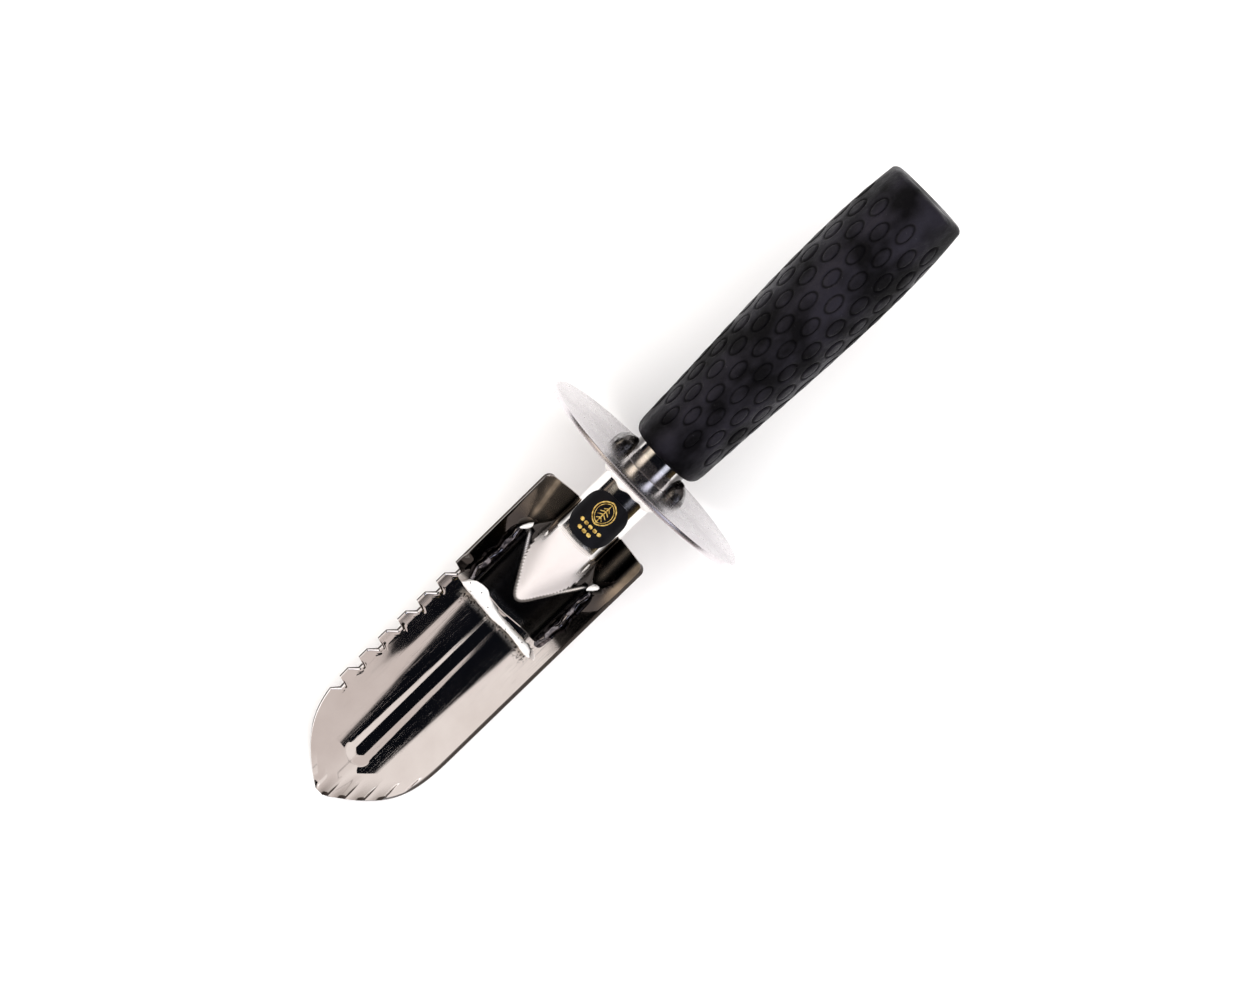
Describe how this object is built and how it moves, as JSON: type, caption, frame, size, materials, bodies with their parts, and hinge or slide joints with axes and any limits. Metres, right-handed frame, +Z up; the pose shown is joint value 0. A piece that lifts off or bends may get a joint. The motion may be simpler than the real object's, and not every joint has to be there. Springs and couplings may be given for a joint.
{
  "type": "hand weeder",
  "caption": "Hand weeder with a saw-toothed steel gutter blade welded to a guarded tube and a textured rubber grip.",
  "frame": {"origin": "on the table, under the middle of the tool's bounding box, with the tool lying hollow side up", "axes": "+X along the tool towards the blade's tip, +Y to the left of the tool, +Z up; the tube leans so that the guard's rim and the blade's tip touch the table"},
  "size_m": [0.3036, 0.09, 0.0887],
  "materials": {
    "mirror_steel": "mirror-polished stainless",
    "polished_steel": "polished stainless tube",
    "brushed_steel": "fine straight grain",
    "weld_metal": "bright lumpy weld bead",
    "dark_weld": "dark oxidised weld bead",
    "grip_rubber": "matt charcoal, moulded ovals",
    "label_vinyl": "satin vinyl sticker"
  },
  "bodies": {
    "root": {"blade": "mirror_steel", "shaft_tube": "polished_steel", "guard_disc": "brushed_steel", "grip_sleeve": "grip_rubber", "label": "label_vinyl", "guard_fillet_weld": "weld_metal", "guard_weld_left": "dark_weld", "guard_weld_right": "dark_weld", "toe_weld": "weld_metal", "side_weld_left": "weld_metal", "side_weld_right": "weld_metal"}
  },
  "joints": []
}
